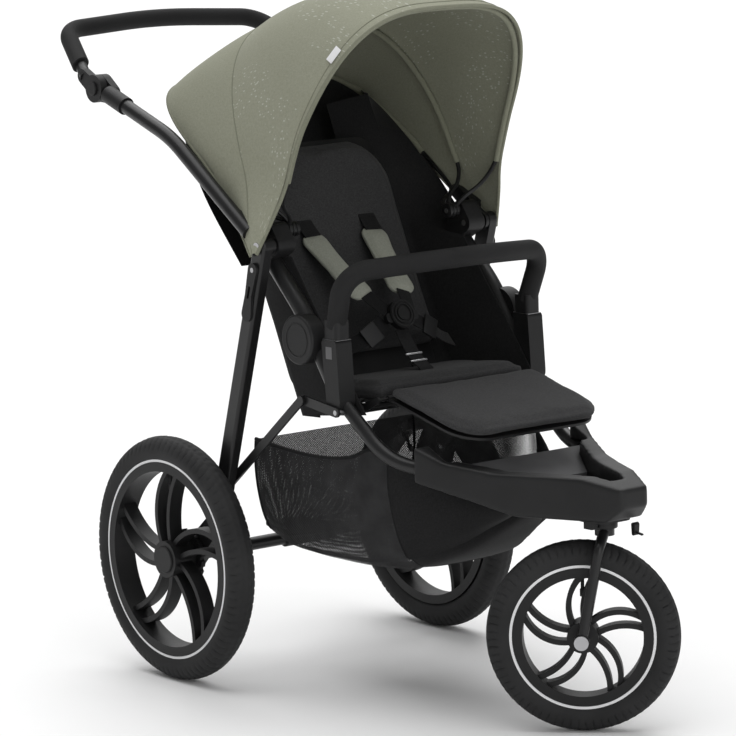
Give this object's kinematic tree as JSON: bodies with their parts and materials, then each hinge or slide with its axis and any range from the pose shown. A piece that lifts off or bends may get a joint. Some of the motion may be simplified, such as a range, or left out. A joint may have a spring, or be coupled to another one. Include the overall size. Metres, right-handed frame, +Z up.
{
  "type": "baby stroller",
  "caption": "Folding jogging stroller with spoked wheels, swivelling front wheel, padded seat, bow canopy, bumper bar, harness, basket and angle-adjustable push handle.",
  "frame": {"origin": "on the floor, under the middle of the whole stroller", "axes": "+Z up, -Y towards the front wheel, X across; the left side is +X"},
  "size_m": [0.593, 1.2232, 1.1398],
  "materials": {
    "black_tube": "satin black powder coat",
    "steel": "zinc plated",
    "black_plastic": "fine matt texture",
    "grey_plastic": "fine matt texture",
    "tyre_rubber": "matt rubber",
    "ring_white": "reflective band",
    "foam": "soft foam",
    "sage_fabric": "woven melange",
    "charcoal_fabric": "woven melange",
    "black_mesh": "open mesh",
    "webbing": "woven webbing"
  },
  "bodies": {
    "chassis": {"side_tubes": "black_tube", "front_tubes": "black_tube", "frame_pins": "steel", "fold_brackets": "black_plastic", "joint_covers": "black_plastic", "bumper_brackets": "black_plastic", "seat_frame": "black_tube", "nose_shell": "black_plastic", "foot_panel": "grey_plastic", "swivel_housing": "black_plastic", "canopy_rear_bow": "black_tube", "seat_pad": "charcoal_fabric", "side_panels": "black_mesh", "seat_straps": "webbing", "buckle": "black_plastic", "basket": "black_mesh"},
    "push_bar": {"push_tubes": "black_tube", "adjuster_housings": "black_plastic"},
    "handle": {"handle_tube": "black_tube", "handle_discs": "black_plastic", "handle_grip": "foam"},
    "adjuster_button_right": {"adjuster_button_right": "black_plastic"},
    "adjuster_button_left": {"adjuster_button_left": "black_plastic"},
    "rear_frame": {"legs": "black_tube", "axle_housings": "black_plastic", "rear_axle": "black_tube", "leg_pins": "steel"},
    "struts": {"struts": "black_tube"},
    "seat_links": {"seat_links": "black_tube"},
    "fold_catch_right": {"fold_catch_right": "black_plastic"},
    "fold_catch_left": {"fold_catch_left": "black_plastic"},
    "brake_pedal": {"brake_pedal": "black_plastic"},
    "rear_wheel_right": {"rear_tyre_right": "tyre_rubber", "rear_rim_right": "black_plastic", "rear_ring_right": "ring_white", "brake_gear_right": "black_plastic", "hub_cap_right": "black_plastic"},
    "rear_wheel_left": {"rear_tyre_left": "tyre_rubber", "rear_rim_left": "black_plastic", "rear_ring_left": "ring_white", "brake_gear_left": "black_plastic", "hub_cap_left": "black_plastic"},
    "caster": {"fork": "black_tube", "front_axle": "steel"},
    "front_wheel": {"front_tyre": "tyre_rubber", "front_rim": "black_plastic", "front_rings": "ring_white"},
    "swivel_lock": {"swivel_lock_lever": "black_plastic"},
    "canopy_middle": {"canopy_middle_bow": "black_tube", "canopy_rear_panel": "sage_fabric"},
    "canopy_front": {"canopy_front_bow": "black_tube", "canopy_front_panel": "sage_fabric"},
    "backrest": {"back_board": "black_plastic", "back_pad": "charcoal_fabric", "shoulder_pads": "sage_fabric"},
    "leg_rest": {"leg_rest_board": "black_plastic", "leg_rest_pad": "charcoal_fabric"},
    "bumper_bar": {"bumper_ends": "black_plastic", "bumper_grip": "foam"},
    "buckle_button": {"buckle_button": "black_plastic"}
  },
  "joints": [
    {"name": "main_fold", "type": "hinge", "parent": "chassis", "child": "push_bar", "pos_m": [0, 0.00351, 0.721], "axis": [1, 0, 0], "range_deg": [0, 160]},
    {"name": "rear_fold", "type": "hinge", "parent": "chassis", "child": "rear_frame", "pos_m": [0, 0.00351, 0.721], "axis": [1, 0, 0], "range_deg": [-27.01, 0]},
    {"name": "strut_fold", "type": "hinge", "parent": "rear_frame", "child": "struts", "pos_m": [0, 0.12351, 0.33], "axis": [1, 0, 0], "range_deg": [-8.35, 0]},
    {"name": "seat_link_fold", "type": "hinge", "parent": "chassis", "child": "seat_links", "pos_m": [0, -0.14949, 0.473], "axis": [1, 0, 0], "range_deg": [0, 71.45]},
    {"name": "handle_angle", "type": "hinge", "parent": "push_bar", "child": "handle", "pos_m": [0, 0.43451, 0.951], "axis": [1, 0, 0], "range_deg": [-60, 30]},
    {"name": "adjuster_button_right_press", "type": "slide", "parent": "handle", "child": "adjuster_button_right", "axis": [1, 0, 0], "range_m": [0, 0.004], "stiffness_N_per_m": 300},
    {"name": "fold_catch_right_turn", "type": "hinge", "parent": "rear_frame", "child": "fold_catch_right", "pos_m": [0, 0.01474, 0.6847], "axis": [1, 0, 0], "range_deg": [0, 30]},
    {"name": "rear_wheel_right_spin", "type": "hinge", "parent": "rear_frame", "child": "rear_wheel_right", "pos_m": [-0.2725, 0.21351, 0.2], "axis": [1, 0, 0], "continuous": true},
    {"name": "adjuster_button_left_press", "type": "slide", "parent": "handle", "child": "adjuster_button_left", "axis": [-1, 0, 0], "range_m": [0, 0.004], "stiffness_N_per_m": 300},
    {"name": "fold_catch_left_turn", "type": "hinge", "parent": "rear_frame", "child": "fold_catch_left", "pos_m": [0, 0.01474, 0.6847], "axis": [1, 0, 0], "range_deg": [0, 30]},
    {"name": "rear_wheel_left_spin", "type": "hinge", "parent": "rear_frame", "child": "rear_wheel_left", "pos_m": [0.2725, 0.21351, 0.2], "axis": [1, 0, 0], "continuous": true},
    {"name": "brake_pedal_turn", "type": "hinge", "parent": "rear_frame", "child": "brake_pedal", "pos_m": [0, 0.21351, 0.2], "axis": [1, 0, 0], "range_deg": [-20, 0]},
    {"name": "caster_swivel", "type": "hinge", "parent": "chassis", "child": "caster", "pos_m": [0, -0.52549, 0.326], "axis": [0, 0, 1], "continuous": true},
    {"name": "front_wheel_spin", "type": "hinge", "parent": "caster", "child": "front_wheel", "pos_m": [-0.02475, -0.50074, 0.148], "axis": [0.7071, 0.7071, 0], "continuous": true},
    {"name": "swivel_lock_turn", "type": "hinge", "parent": "chassis", "child": "swivel_lock", "pos_m": [0.026, -0.56549, 0.32], "axis": [1, 0, 0], "range_deg": [-25, 20]},
    {"name": "canopy_middle_fold", "type": "hinge", "parent": "chassis", "child": "canopy_middle", "pos_m": [0, 0.01751, 0.742], "axis": [1, 0, 0], "range_deg": [-20, 0], "deforming": ["canopy_rear_panel"]},
    {"name": "canopy_front_fold", "type": "hinge", "parent": "canopy_middle", "child": "canopy_front", "pos_m": [0, 0.01751, 0.742], "axis": [1, 0, 0], "range_deg": [-48, 0], "deforming": ["canopy_front_panel"]},
    {"name": "backrest_recline", "type": "hinge", "parent": "chassis", "child": "backrest", "pos_m": [0, 0.02851, 0.452], "axis": [1, 0, 0], "range_deg": [-38, 0]},
    {"name": "leg_rest_drop", "type": "hinge", "parent": "chassis", "child": "leg_rest", "pos_m": [0, -0.18749, 0.49], "axis": [1, 0, 0], "range_deg": [0, 10]},
    {"name": "bumper_bar_lift", "type": "slide", "parent": "chassis", "child": "bumper_bar", "axis": [0, 0, 1], "range_m": [0, 0.046]},
    {"name": "buckle_button_press", "type": "slide", "parent": "chassis", "child": "buckle_button", "axis": [0, 0.9207, -0.3903], "range_m": [0, 0.003], "stiffness_N_per_m": 200}
  ],
  "couplings": [
    {"joint": "rear_fold", "follows": "main_fold", "ratio": -0.16875},
    {"joint": "strut_fold", "follows": "main_fold", "ratio": -0.052107},
    {"joint": "seat_link_fold", "follows": "main_fold", "ratio": 0.44651}
  ]
}
